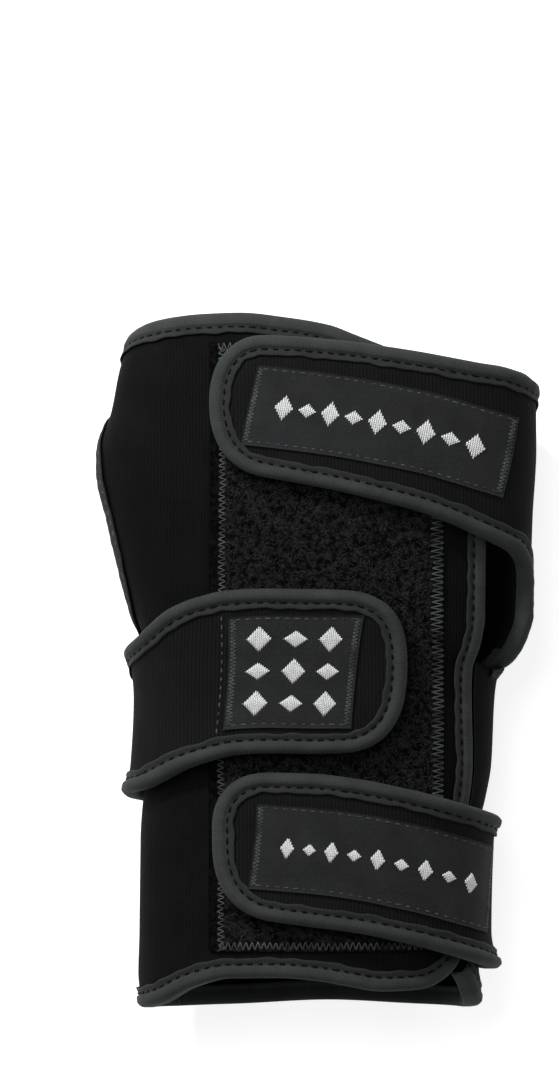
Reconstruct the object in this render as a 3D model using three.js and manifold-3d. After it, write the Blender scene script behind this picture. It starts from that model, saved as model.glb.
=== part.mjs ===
// Bowling glove: a neoprene wrist support for a right hand, lying palm down and holding its worn shape.
// X runs from the thumb side to the little finger side, Y from the wrist to the fingers, Z up.
// The origin is on the floor under the middle of the glove. All lengths are millimetres.

import * as THREE from 'three';
import { mergeVertices } from 'three/addons/utils/BufferGeometryUtils.js';
import Module from 'manifold-3d';

const wasm = await Module();
wasm.setup();

// The hand that the glove is cut for
const gloveLength = 174;
const handBreadth = 102;
const handDepth = 43;

// Sheet goods, measured through the thickness
const panelThickness = 3;
const strapThickness = 2.5;
const loopThickness = 1.2;
const hookThickness = 0.9;
const labelThickness = 0.5;
const tapeThickness = 0.6;

// Clearance between pieces that touch, and the least that is left where cloth bends sharply
const gap = 0.3;
const leastGap = 0.04;
const smoothing = 0.02;

// Folded edge tape, from its fold to the end of each leg
const tapeWidth = 5;

// Panels
const loopHemMargin = 14.7;
const loopKnuckleMargin = 7.4;
const loopPanelWidth = 56.5;
const thumbHoleLength = 53;
const thumbHoleWidth = 30;
const thumbHoleRise = 2.5;
const cornerRadius = 9;
const thumbSeamDrop = 15;
const littleSeamDrop = 8;
const endLift = 1.2;

// Straps
const knuckleStrapWidth = 34.5;
const middleStrapWidth = 41;
const wristStrapWidth = 37.5;
const knuckleEndDepth = 12;
const middleEndDepth = 15;
const wristEndDepth = 13;
const middleRootDrop = 9;
const wristRootDrop = 7;

// Woven labels and hook tabs
const knuckleLabelMargin = 7.25;
const middleLabelMargin = 6.4;
const wristLabelMargin = 8.1;
const hookTabLength = 30;
const hookTabMargin = 8;

// Heights above the skin
const panelTop = panelThickness;
const tapeRoom = gap + tapeThickness;
const loopLow = panelTop + gap;
const hookLow = loopLow + loopThickness + gap;
const strapOverLoop = hookLow + hookThickness + gap;
const strapOverPanel = panelTop + tapeRoom + gap;
const strapOverTape = strapOverPanel + tapeRoom;

// Cross-sections of the hand from the wrist end to the knuckles. along is a share of the glove's length
// from its middle, the half breadths are shares of the hand's breadth, and back is a share of its depth.
const sections = [
  { along: -0.5, thumbHalf: 0.391, littleHalf: 0.373, back: 1.065 },
  { along: -0.45, thumbHalf: 0.401, littleHalf: 0.377, back: 1.05 },
  { along: -0.39, thumbHalf: 0.398, littleHalf: 0.361, back: 1.03 },
  { along: -0.26, thumbHalf: 0.397, littleHalf: 0.367, back: 1.0 },
  { along: -0.2, thumbHalf: 0.39, littleHalf: 0.392, back: 0.99 },
  { along: -0.15, thumbHalf: 0.374, littleHalf: 0.407, back: 0.98 },
  { along: -0.055, thumbHalf: 0.366, littleHalf: 0.415, back: 0.975 },
  { along: -0.015, thumbHalf: 0.371, littleHalf: 0.426, back: 0.98 },
  { along: 0.025, thumbHalf: 0.386, littleHalf: 0.465, back: 0.99 },
  { along: 0.065, thumbHalf: 0.411, littleHalf: 0.486, back: 1.0 },
  { along: 0.12, thumbHalf: 0.438, littleHalf: 0.489, back: 1.01 },
  { along: 0.21, thumbHalf: 0.475, littleHalf: 0.494, back: 1.01 },
  { along: 0.265, thumbHalf: 0.495, littleHalf: 0.501, back: 1.0 },
  { along: 0.3, thumbHalf: 0.494, littleHalf: 0.504, back: 0.985 },
  { along: 0.36, thumbHalf: 0.466, littleHalf: 0.504, back: 0.96 },
  { along: 0.42, thumbHalf: 0.445, littleHalf: 0.498, back: 0.93 },
  { along: 0.46, thumbHalf: 0.42, littleHalf: 0.483, back: 0.9 },
  { along: 0.5, thumbHalf: 0.375, littleHalf: 0.45, back: 0.86 },
];
const sectionRoundness = 2.35;
const sectionWaist = 0.47;
const palmFlatness = 1.22;
const thumbPalmFlatness = 0.94;
const palmEdgeSoftness = 3;
const sectionSteps = 144;

// The ends of the palm curl up clear of the floor, over these shares of the glove's length from its middle
const palmLift = [
  { along: -0.5, lift: 1 },
  { along: -0.46, lift: 1 },
  { along: -0.41, lift: 0 },
  { along: 0.27, lift: 0 },
  { along: 0.33, lift: 1 },
  { along: 0.5, lift: 1 },
];

// Edges of the back panel. across runs from its bound little finger edge to the seam on the thumb side,
// fingers and wrist are shares of the glove's length.
const backEnds = [
  { across: 0, fingers: 0.388, wrist: -0.456 },
  { across: 0.07, fingers: 0.415, wrist: -0.47 },
  { across: 0.167, fingers: 0.441, wrist: -0.473 },
  { across: 0.27, fingers: 0.467, wrist: -0.464 },
  { across: 0.33, fingers: 0.481, wrist: -0.458 },
  { across: 0.43, fingers: 0.4915, wrist: -0.4535 },
  { across: 0.544, fingers: 0.4985, wrist: -0.4545 },
  { across: 0.63, fingers: 0.497, wrist: -0.468 },
  { across: 0.72, fingers: 0.4915, wrist: -0.492 },
  { across: 0.8, fingers: 0.481, wrist: -0.499 },
  { across: 0.86, fingers: 0.468, wrist: -0.5 },
  { across: 1, fingers: 0.43, wrist: -0.5 },
];
// Bound edge of the back panel on the little finger side, as a share of the arc from the crown to that side
const backSide = [
  { along: -0.5, reach: 0.62 },
  { along: -0.465, reach: 0.69 },
  { along: -0.42, reach: 0.755 },
  { along: -0.35, reach: 0.765 },
  { along: -0.2, reach: 0.763 },
  { along: -0.0575, reach: 0.741 },
  { along: 0.0144, reach: 0.717 },
  { along: 0.086, reach: 0.704 },
  { along: 0.26, reach: 0.7 },
  { along: 0.4, reach: 0.675 },
];

// Edges of the palm panel. across runs from the thumb seam to the little finger seam.
const palmEnds = [
  { across: 0, fingers: 0.43, wrist: -0.5 },
  { across: 0.2, fingers: 0.402, wrist: -0.498 },
  { across: 0.5, fingers: 0.382, wrist: -0.492 },
  { across: 0.8, fingers: 0.377, wrist: -0.498 },
  { across: 1, fingers: 0.375, wrist: -0.5 },
];

// Edges of the gusset. across runs from the little finger seam to the bound edge of the back panel.
const gussetEnds = [
  { across: 0, fingers: -0.0185, wrist: -0.5 },
  { across: 0.35, fingers: -0.0185, wrist: -0.496 },
  { across: 0.6, fingers: -0.0185, wrist: -0.484 },
  { across: 0.8, fingers: -0.0175, wrist: -0.466 },
  { across: 1, fingers: -0.006, wrist: -0.45 },
];

// Straps. reach is a share of the arc from the crown to the side that the strap comes from, negative past
// the crown and from 1 to 2 between that side and the strap's root. middle is a share of the glove's length
// and width is a share of the strap's own width.
const knuckleStations = [
  { reach: 2, middle: 0.179, width: 1.93 },
  { reach: 1.5, middle: 0.182, width: 1.96 },
  { reach: 1.0, middle: 0.1853, width: 2.014 },
  { reach: 0.943, middle: 0.192, width: 2.046 },
  { reach: 0.917, middle: 0.1977, width: 2.029 },
  { reach: 0.903, middle: 0.2032, width: 1.991 },
  { reach: 0.893, middle: 0.2124, width: 1.91 },
  { reach: 0.879, middle: 0.2345, width: 1.699 },
  { reach: 0.862, middle: 0.2555, width: 1.504 },
  { reach: 0.84, middle: 0.2693, width: 1.4 },
  { reach: 0.81, middle: 0.278, width: 1.36 },
  { reach: 0.77, middle: 0.286, width: 1.32 },
  { reach: 0.72, middle: 0.293, width: 1.3 },
  { reach: 0.65, middle: 0.301, width: 1.26 },
  { reach: 0.55, middle: 0.313, width: 1.21 },
  { reach: 0.42, middle: 0.327, width: 1.16 },
  { reach: 0.28, middle: 0.338, width: 1.13 },
  { reach: 0.14, middle: 0.348, width: 1.1 },
  { reach: 0.0, middle: 0.3555, width: 1.07 },
  { reach: -0.14, middle: 0.362, width: 1.04 },
  { reach: -0.27, middle: 0.367, width: 1.0 },
  { reach: -0.385, middle: 0.3705, width: 0.96 },
];
const middleStations = [
  { reach: 2, middle: -0.11, width: 0.8 },
  { reach: 1.6, middle: -0.104, width: 0.82 },
  { reach: 1.2, middle: -0.095, width: 0.85 },
  { reach: 1.0, middle: -0.088, width: 0.88 },
  { reach: 0.9, middle: -0.083, width: 0.9 },
  { reach: 0.81, middle: -0.076, width: 0.93 },
  { reach: 0.72, middle: -0.062, width: 0.96 },
  { reach: 0.6, middle: -0.04, width: 0.99 },
  { reach: 0.48, middle: -0.026, width: 1.0 },
  { reach: 0.36, middle: -0.017, width: 1.0 },
  { reach: 0.2, middle: -0.0145, width: 1.0 },
  { reach: 0.0, middle: -0.0155, width: 1.0 },
  { reach: -0.15, middle: -0.0155, width: 0.99 },
  { reach: -0.27, middle: -0.016, width: 0.98 },
  { reach: -0.42, middle: -0.016, width: 0.97 },
];
const wristStations = [
  { reach: 2, middle: -0.337, width: 1.0 },
  { reach: 1.5, middle: -0.336, width: 1.01 },
  { reach: 1.0, middle: -0.335, width: 1.01 },
  { reach: 0.9, middle: -0.332, width: 1.02 },
  { reach: 0.81, middle: -0.327, width: 1.02 },
  { reach: 0.72, middle: -0.32, width: 1.02 },
  { reach: 0.62, middle: -0.311, width: 1.02 },
  { reach: 0.5, middle: -0.3, width: 1.02 },
  { reach: 0.37, middle: -0.29, width: 1.02 },
  { reach: 0.22, middle: -0.28, width: 1.02 },
  { reach: 0.05, middle: -0.2725, width: 1.02 },
  { reach: -0.12, middle: -0.268, width: 1.0 },
  { reach: -0.29, middle: -0.264, width: 0.97 },
  { reach: -0.45, middle: -0.262, width: 0.94 },
];

// Mesh steps
const panelColumns = 25;
const panelRows = 16;
const strapRows = 6;
const labelRows = 2;
const labelColumns = 14;
const tabColumns = 6;

const mix = (from, to, share) => from + (to - from) * share;
const clamp = (value, low, high) => Math.min(Math.max(value, low), high);
const ease = (from, to, value) => THREE.MathUtils.smoothstep(value, from, to);

// The larger of two values, with the corner between them rounded over a width
function softMax(a, b, width) {
  const share = clamp(0.5 + (a - b) / (2 * width), 0, 1);
  return mix(b, a, share) + width * share * (1 - share);
}

// Value of one column of a table, on a smooth curve through its rows that never overshoots them
function read(rows, key, place, column) {
  const last = rows.length - 1;
  const rising = rows[last][key] > rows[0][key];
  const ordered = rising ? rows : [...rows].reverse();
  let low = 0;
  while (low < last - 1 && place > ordered[low + 1][key]) low++;
  const slope = (row) => {
    if (row < 0 || row >= last) return 0;
    return (ordered[row + 1][column] - ordered[row][column]) / (ordered[row + 1][key] - ordered[row][key]);
  };
  const bend = (row) => {
    const [before, after] = [slope(row - 1), slope(row)];
    if (row === 0) return after;
    if (row === last) return before;
    return before * after > 0 ? (2 * before * after) / (before + after) : 0;
  };
  const span = ordered[low + 1][key] - ordered[low][key];
  const t = clamp((place - ordered[low][key]) / span, 0, 1);
  const [start, end] = [ordered[low][column], ordered[low + 1][column]];
  const [leave, arrive] = [bend(low) * span, bend(low + 1) * span];
  return (
    (2 * t ** 3 - 3 * t ** 2 + 1) * start + (t ** 3 - 2 * t ** 2 + t) * leave
    + (3 * t ** 2 - 2 * t ** 3) * end + (t ** 3 - t ** 2) * arrive
  );
}

// Share along a rounded square of a share round a circle
const bow = (value, squareness) => Math.sign(value) * Math.abs(value) ** (2 / squareness);

// Outline of the skin at one place along the hand, clockwise from the crown towards the little finger
const sectionCache = new Map();
function section(y) {
  const place = Math.round(y * 100) / 100;
  if (sectionCache.has(place)) return sectionCache.get(place);
  const along = place / gloveLength;
  const thumbHalf = read(sections, 'along', along, 'thumbHalf') * handBreadth;
  const littleHalf = read(sections, 'along', along, 'littleHalf') * handBreadth;
  const depth = read(sections, 'along', along, 'back') * handDepth;
  const waist = panelThickness + depth * sectionWaist;
  const floor = panelThickness + read(palmLift, 'along', along, 'lift') * endLift;
  const points = [];
  for (let step = 0; step < sectionSteps; step++) {
    const turn = (2 * Math.PI * step) / sectionSteps;
    const thumbward = Math.max(-Math.sin(turn), 0);
    const half = thumbward > 0 ? thumbHalf : littleHalf;
    const flatness = mix(palmFlatness, thumbPalmFlatness, thumbward);
    const rise = Math.cos(turn) < 0 ? depth * sectionWaist * flatness : depth * (1 - sectionWaist);
    const height = waist + rise * bow(Math.cos(turn), sectionRoundness);
    points.push(new THREE.Vector2(
      half * bow(Math.sin(turn), sectionRoundness),
      softMax(height, floor, palmEdgeSoftness),
    ));
  }
  const arcs = [0];
  const outward = [];
  for (let step = 0; step < sectionSteps; step++) {
    const next = points[(step + 1) % sectionSteps];
    const before = points[(step + sectionSteps - 1) % sectionSteps];
    arcs.push(arcs[step] + points[step].distanceTo(next));
    outward.push(new THREE.Vector2(before.y - next.y, next.x - before.x).normalize());
  }
  const girth = arcs[sectionSteps];
  const result = {
    points,
    arcs,
    outward,
    girth,
    littleSide: arcs[sectionSteps / 4],
    thumbSide: girth - arcs[(3 * sectionSteps) / 4],
  };
  sectionCache.set(place, result);
  return result;
}

// Point in space of a place on the hand: arc from the crown, place along it, height above its skin
function wrap(arc, y, height) {
  const { points, arcs, outward, girth } = section(y);
  const place = ((arc % girth) + girth) % girth;
  let low = 0;
  let high = sectionSteps;
  while (high - low > 1) {
    const half = (low + high) >> 1;
    if (arcs[half] <= place) low = half;
    else high = half;
  }
  const share = (place - arcs[low]) / (arcs[low + 1] - arcs[low]);
  const next = (low + 1) % sectionSteps;
  const skin = points[low].clone().lerp(points[next], share);
  const lift = outward[low].clone().lerp(outward[next], share).normalize().multiplyScalar(height);
  return new THREE.Vector3(skin.x + lift.x, y, skin.y + lift.y);
}

// Arc of a share of the way from the crown to a side
function sideArc(share, y, side) {
  if (side === 'thumb') return -share * section(y).thumbSide;
  return share * section(y).littleSide;
}

// A sheet with room round it, to be cut out of what lies close to it
function fatSheet(pattern, base, thickness, columns, rows) {
  const lower = (arc, y) => base(arc, y) - leastGap;
  return toSolid(sheet(pattern, lower, thickness + 2 * leastGap, columns, rows));
}

// A closed geometry with each of its points moved, its shared points merged and its faces turned outwards
function bent(geometry, move) {
  geometry.deleteAttribute('uv');
  geometry.deleteAttribute('normal');
  const merged = mergeVertices(geometry, 1e-5);
  const position = merged.attributes.position;
  const point = new THREE.Vector3();
  for (let i = 0; i < position.count; i++) {
    point.copy(move(point.fromBufferAttribute(position, i)));
    position.setXYZ(i, point.x, point.y, point.z);
  }
  const index = merged.index.array;
  const [a, b, c] = [new THREE.Vector3(), new THREE.Vector3(), new THREE.Vector3()];
  let volume = 0;
  for (let i = 0; i < index.length; i += 3) {
    a.fromBufferAttribute(position, index[i]);
    b.fromBufferAttribute(position, index[i + 1]);
    c.fromBufferAttribute(position, index[i + 2]);
    volume += a.dot(b.cross(c));
  }
  if (volume < 0) {
    for (let i = 0; i < index.length; i += 3) [index[i], index[i + 1]] = [index[i + 1], index[i]];
  }
  merged.computeVertexNormals();
  return merged;
}

// A sheet of cloth above the skin. The pattern gives arc and y from shares across and along it, and base
// gives the height of the sheet's underside at an arc and y.
function sheet(pattern, base, thickness, columns, rows) {
  const slab = new THREE.BoxGeometry(1, 1, 1, columns, rows, 1);
  return bent(slab, (point) => {
    const { arc, y } = pattern(point.x + 0.5, point.y + 0.5);
    return wrap(arc, y, base(arc, y) + (point.z + 0.5) * thickness);
  });
}

// Section of the folded tape round a sheet. x is 0 at the cloth's edge and positive outside it, y is 0 at
// the cloth's underside.
function tapeSection(thickness) {
  const inner = tapeRoom - tapeWidth;
  const [bottom, top] = [-tapeRoom, thickness + tapeRoom];
  return [
    new THREE.Vector2(inner, bottom),
    new THREE.Vector2(tapeRoom, bottom),
    new THREE.Vector2(tapeRoom, top),
    new THREE.Vector2(inner, top),
    new THREE.Vector2(inner, top - tapeThickness),
    new THREE.Vector2(gap, top - tapeThickness),
    new THREE.Vector2(gap, bottom + tapeThickness),
    new THREE.Vector2(inner, bottom + tapeThickness),
  ];
}

// Folded tape along an edge of a sheet, with one section at each of the edge's places. clothOn says on
// which hand the cloth lies, seen from above, on the way along the edge.
function tape(edge, base, thickness, clothOn) {
  const steps = edge.length - 1;
  const strip = new THREE.ExtrudeGeometry(
    new THREE.Shape(tapeSection(thickness)),
    { depth: 1, steps, bevelEnabled: false },
  );
  const turn = clothOn === 'left' ? 1 : -1;
  return bent(strip, ({ x: across, y: height, z: share }) => {
    const at = Math.round(share * steps);
    const before = edge[Math.max(at - 1, 0)];
    const after = edge[Math.min(at + 1, steps)];
    const [wayArc, wayY] = [after.arc - before.arc, after.y - before.y];
    const offset = (turn * across) / Math.hypot(wayArc, wayY);
    const arc = edge[at].arc + offset * wayY;
    const y = edge[at].y - offset * wayArc;
    return wrap(arc, y, base(arc, y) + height);
  });
}

// Solids for joining and cutting
function toSolid(geometry) {
  const vertProperties = Float32Array.from(geometry.attributes.position.array);
  return new wasm.Manifold(
    new wasm.Mesh({ numProp: 3, vertProperties, triVerts: Uint32Array.from(geometry.index.array) }),
  );
}

function toGeometry(solid) {
  const { vertProperties, triVerts } = solid.simplify(smoothing).getMesh();
  const geometry = new THREE.BufferGeometry();
  geometry.setAttribute('position', new THREE.BufferAttribute(new Float32Array(vertProperties), 3));
  geometry.setIndex(new THREE.BufferAttribute(new Uint32Array(triVerts), 1));
  geometry.computeVertexNormals();
  return geometry;
}

const glove = new THREE.Group();

function addPiece(name, geometry, colour, roughness) {
  const finish = new THREE.MeshStandardMaterial({ color: colour, roughness, metalness: 0 });
  const piece = new THREE.Mesh(geometry, finish);
  piece.name = name;
  glove.add(piece);
}
const addNeoprene = (name, geometry) => addPiece(name, geometry, 0x17171a, 0.9);
const addTape = (name, geometry) => addPiece(name, geometry, 0x3c4242, 0.75);
const addLabel = (name, geometry) => addPiece(name, geometry, 0x222426, 0.6);
const addPile = (name, geometry) => addPiece(name, geometry, 0x101012, 1);

// Evenly spaced shares from 0 to 1, and shares that lie closer together near both ends
const shares = (count) => Array.from({ length: count + 1 }, (_, i) => i / count);
const endwise = (share) => mix(share, (1 - Math.cos(Math.PI * share)) / 2, 0.75);
const onSkin = () => 0;

// A unit square whose corners at one edge are rounded, given the square's size
function roundCorner(across, along, width, length) {
  const inX = (cornerRadius - across * width) / cornerRadius;
  const inLow = (cornerRadius - along * length) / cornerRadius;
  const inHigh = (cornerRadius - (1 - along) * length) / cornerRadius;
  const inY = Math.max(inLow, inHigh);
  if (inX <= 0 || inY <= 0) return [across, along];
  const pull = Math.max(inX, inY) / Math.hypot(inX, inY);
  const newAcross = (cornerRadius * (1 - inX * pull)) / width;
  const newAlong = (cornerRadius * (1 - inY * pull)) / length;
  return [newAcross, inLow > inHigh ? newAlong : 1 - newAlong];
}

// Fold line of the back panel's tape on the little finger side
const backFold = (y) => sideArc(read(backSide, 'along', y / gloveLength, 'reach'), y);
const thumbSeam = (y) => sideArc(1, y, 'thumb') - thumbSeamDrop;
const littleSeam = (y) => sideArc(1, y) + littleSeamDrop;

// Back panel
const backWidth = backFold(0) - thumbSeam(0);
function backPattern(across, along) {
  const [u, v] = roundCorner(endwise(across), along, backWidth, gloveLength);
  const fingers = read(backEnds, 'across', u, 'fingers') * gloveLength - tapeRoom;
  const wrist = read(backEnds, 'across', u, 'wrist') * gloveLength + tapeRoom;
  const y = mix(wrist, fingers, v);
  return { arc: mix(backFold(y) - tapeRoom, thumbSeam(y) + gap / 2, u), y };
}

// Palm panel
function palmPattern(across, along) {
  const u = endwise(across);
  const fingers = read(palmEnds, 'across', u, 'fingers') * gloveLength - tapeRoom;
  const wrist = read(palmEnds, 'across', u, 'wrist') * gloveLength + tapeRoom;
  const y = mix(wrist, fingers, along);
  return { arc: mix(thumbSeam(y) - gap / 2, littleSeam(y) + gap / 2 - section(y).girth, u), y };
}

// Side gusset
function gussetPattern(across, along) {
  const fingers = read(gussetEnds, 'across', across, 'fingers') * gloveLength;
  const wrist = read(gussetEnds, 'across', across, 'wrist') * gloveLength + tapeRoom;
  const y = mix(wrist, fingers, along);
  return { arc: mix(littleSeam(y) - gap / 2, backFold(y) + 2 * gap, across), y };
}

// Thumb hole: its middle is halfway round the thumb side, with a flatter edge towards the back
const thumbHoleMiddle = 0.186 * gloveLength;
const thumbHoleShift = thumbHoleWidth / 2 - thumbHoleRise;
function thumbHolePlace(turn, radius) {
  const squareness = Math.cos(turn) > 0 ? 2.9 : 2.3;
  const y = thumbHoleMiddle + (thumbHoleLength / 2 + radius) * bow(Math.sin(turn), squareness);
  const across = (thumbHoleWidth / 2 + radius) * bow(Math.cos(turn), squareness);
  return { arc: sideArc(1, y, 'thumb') - thumbHoleShift + across, y };
}
const holeTurns = 28;
const holeDepth = 3;
function thumbHoleCut() {
  const [low, high] = [-holeDepth, panelTop + holeDepth];
  const rings = shares(4);
  const lower = rings.map((ring) => new THREE.Vector2(ring, low));
  const upper = [...rings].reverse().map((ring) => new THREE.Vector2(ring, high));
  const disc = new THREE.LatheGeometry([...lower, ...upper], holeTurns);
  return bent(disc, (point) => {
    const turn = Math.atan2(point.z, point.x);
    const ring = Math.hypot(point.x, point.z);
    const rim = thumbHolePlace(turn, 0);
    const y = mix(thumbHoleMiddle, rim.y, ring);
    const centre = sideArc(1, y, 'thumb') - thumbHoleShift;
    const reach = rim.arc - (sideArc(1, rim.y, 'thumb') - thumbHoleShift);
    return wrap(centre + reach * ring, y, point.y);
  });
}

const thumbHole = toSolid(thumbHoleCut());
const backSlab = toSolid(sheet(backPattern, onSkin, panelThickness, panelColumns, panelRows));
const palmSlab = toSolid(sheet(palmPattern, onSkin, panelThickness, panelColumns, panelRows));
const backRoom = fatSheet(backPattern, onSkin, panelThickness, panelColumns, panelRows).subtract(thumbHole);
const palmRoom = fatSheet(palmPattern, onSkin, panelThickness, panelColumns, panelRows).subtract(thumbHole);
addNeoprene('back_panel', toGeometry(backSlab.subtract(thumbHole)));
addNeoprene('palm_panel', toGeometry(palmSlab.subtract(thumbHole)));
addNeoprene('side_gusset', sheet(gussetPattern, onSkin, panelThickness, 6, 11));

// Tape on the panels
const cornerShares = [0, 0.012, 0.026, 0.042];
const sideShares = shares(panelRows).slice(2, -2);
const farCornerShares = cornerShares.map((share) => 1 - share).reverse();
const backSideShares = [...cornerShares, ...sideShares, ...farCornerShares];
const panelShares = shares(panelColumns);
const backEdge = [
  ...panelShares.map((share) => backPattern(1 - share, 1)),
  ...backSideShares.slice(1).map((share) => backPattern(0, 1 - share)),
  ...panelShares.slice(1).map((share) => backPattern(share, 0)),
];
const backTape = toSolid(tape(backEdge, onSkin, panelThickness, 'right'));
addTape('back_panel_binding', toGeometry(backTape.subtract(backRoom)));
const palmEdge = (along) => panelShares.map((share) => palmPattern(share, along));
const knuckleTape = toSolid(tape(palmEdge(1), onSkin, panelThickness, 'left'));
addTape('palm_knuckle_binding', toGeometry(knuckleTape.subtract(palmRoom)));
const wristTape = toSolid(tape(palmEdge(0), onSkin, panelThickness, 'right'));
addTape('palm_wrist_binding', toGeometry(wristTape.subtract(palmRoom)));
const gussetEdge = shares(6).map((share) => gussetPattern(share, 0));
addTape('side_gusset_binding', tape(gussetEdge, onSkin, panelThickness, 'right'));

function thumbHoleTape() {
  const squeeze = 0.01;
  const profile = tapeSection(panelThickness).map(({ x, y }) => new THREE.Vector2(1 - x * squeeze, y));
  const ring = new THREE.LatheGeometry([...profile, profile[0]], holeTurns);
  return bent(ring, (point) => {
    const turn = Math.atan2(point.z, point.x);
    const { arc, y } = thumbHolePlace(turn, (Math.hypot(point.x, point.z) - 1) / squeeze);
    return wrap(arc, y, point.y);
  });
}
const holeTape = toSolid(thumbHoleTape()).subtract(backRoom).subtract(palmRoom);
addTape('thumb_hole_binding', toGeometry(holeTape));

// Loop panel on the back, cut at the knuckles to follow the back panel's edge
const loopWrist = loopHemMargin - gloveLength / 2;
const loopThumbEdge = -0.247 * handBreadth;
const loopEdge = { thumb: 0.594, little: 0.09 };
function loopPattern(across, along) {
  const share = mix(loopEdge.thumb, loopEdge.little, across);
  const fingers = read(backEnds, 'across', share, 'fingers') * gloveLength - loopKnuckleMargin;
  return { arc: loopThumbEdge + loopPanelWidth * across, y: mix(loopWrist, fingers, along) };
}
const loopSteps = { columns: 9, rows: 16 };
addPile('loop_panel', sheet(loopPattern, () => loopLow, loopThickness, loopSteps.columns, loopSteps.rows));

// Straps. base gives the height of the underside at a reach. The label lies between two reaches, and its
// ends lean by lean millimetres towards the little finger for each millimetre towards the fingers.
const strapSquareness = 2.4;
const overTapeAt = (from, to, reach) => mix(strapOverLoop, strapOverTape, ease(from, to, reach));
const rootSettle = (height, reach) => mix(height, strapOverPanel, ease(1, 2, reach));
const knuckleStrap = {
  name: 'knuckle_strap',
  stations: knuckleStations,
  side: 'little',
  width: knuckleStrapWidth,
  endDepth: knuckleEndDepth,
  rootDrop: littleSeamDrop - 3 * gap,
  base: (reach) => strapOverLoop * (1 - ease(0.72, 1.08, reach)),
  label: { margin: knuckleLabelMargin, from: -0.235, to: 0.74, lean: 0.2 },
};
const middleStrap = {
  name: 'middle_strap',
  stations: middleStations,
  side: 'thumb',
  width: middleStrapWidth,
  endDepth: middleEndDepth,
  rootDrop: middleRootDrop,
  base: (reach) => rootSettle(overTapeAt(0.5, 0.8, reach), reach),
  label: { margin: middleLabelMargin, from: -0.2, to: 0.39, lean: 0.08 },
};
const wristStrap = {
  name: 'wrist_strap',
  stations: wristStations,
  side: 'little',
  width: wristStrapWidth,
  endDepth: wristEndDepth,
  rootDrop: wristRootDrop,
  base: (reach) => rootSettle(overTapeAt(0.66, 0.95, reach), reach),
  label: { margin: wristLabelMargin, from: -0.28, to: 0.86, lean: 0.12 },
};

// Arc of a reach of a strap, and the reach of an arc
function strapArc({ side, rootDrop }, reach, y) {
  const drop = rootDrop * Math.max(reach - 1, 0);
  return sideArc(Math.min(reach, 1), y, side) + (side === 'thumb' ? -drop : drop);
}

function strapReach({ side, rootDrop }, arc, y) {
  const length = Math.abs(sideArc(1, y, side));
  const distance = side === 'thumb' ? -arc : arc;
  return distance <= length ? distance / length : 1 + (distance - length) / rootDrop;
}

// Place on a strap: length is a share from its root to its rounded end, turn goes across it edge to edge
function strapPattern(strap, length, turn) {
  const { stations, side, width, endDepth } = strap;
  const tip = stations[stations.length - 1];
  const row = clamp(Math.floor(length * (stations.length - 1)), 0, stations.length - 2);
  const nominal = mix(stations[row].reach, stations[row + 1].reach, length * (stations.length - 1) - row);
  const sideLength = Math.abs(sideArc(1, tip.middle * gloveLength, side));
  const shortening = (endDepth * (1 - bow(Math.cos(turn), strapSquareness))) / sideLength;
  const pull = 1 - ease(tip.reach, 1, nominal);
  const reach = nominal + shortening * pull;
  const middle = read(stations, 'reach', reach, 'middle') * gloveLength;
  const half = (read(stations, 'reach', reach, 'width') * width) / 2 - tapeRoom;
  const y = middle + half * bow(Math.sin(turn), strapSquareness);
  return { arc: strapArc(strap, reach, y), y };
}

// Strap cloth, the tape round its edges, the woven label on it and the hook tab under its end
function addStrap(strap) {
  const { name, stations, side, label } = strap;
  const columns = stations.length - 1;
  const tip = stations[columns];
  const clothOn = side === 'thumb' ? 'right' : 'left';
  const base = (arc, y) => strap.base(strapReach(strap, arc, y));
  const pattern = (length, share) => strapPattern(strap, length, (share - 0.5) * Math.PI);
  addNeoprene(name, sheet(pattern, base, strapThickness, columns, strapRows));

  const edge = [
    ...shares(columns).map((length) => pattern(length, 1)),
    ...shares(2 * strapRows).slice(1).map((share) => pattern(1, 1 - share)),
    ...shares(columns).slice(1).map((length) => pattern(1 - length, 0)),
  ];
  const room = fatSheet(pattern, base, strapThickness, columns, strapRows);
  const strip = toSolid(tape(edge, base, strapThickness, clothOn));
  addTape(`${name}_binding`, toGeometry(strip.subtract(room)));

  const sideLength = Math.abs(sideArc(1, tip.middle * gloveLength, side));
  const leanReach = (side === 'thumb' ? -label.lean : label.lean) / sideLength;
  const onStrap = (from, to, width, lean) => (across, along) => {
    const offset = (along - 0.5) * width;
    const reach = mix(from, to, across);
    const y = read(stations, 'reach', reach, 'middle') * gloveLength + offset;
    return { arc: strapArc(strap, reach + lean * offset, y), y };
  };
  const labelBase = (arc, y) => base(arc, y) + strapThickness + gap;
  const labelPattern = onStrap(label.from, label.to, strap.width - 2 * label.margin, leanReach);
  addLabel(`${name}_label`, sheet(labelPattern, labelBase, labelThickness, labelColumns, labelRows));

  const tabStart = tip.reach + hookTabMargin / sideLength;
  const tabEnd = tabStart + hookTabLength / sideLength;
  const tabPattern = onStrap(tabStart, tabEnd, tip.width * strap.width - 2 * hookTabMargin, 0);
  addPile(`${name}_hook_tab`, sheet(tabPattern, () => hookLow, hookThickness, tabColumns, labelRows));
}
addStrap(knuckleStrap);
addStrap(middleStrap);
addStrap(wristStrap);

// The origin goes under the middle of the glove, on the floor
const box = new THREE.Box3().setFromObject(glove);
const centre = box.getCenter(new THREE.Vector3());
for (const piece of glove.children) piece.geometry.translate(-centre.x, -centre.y, -box.min.z);

export default glove;
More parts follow.
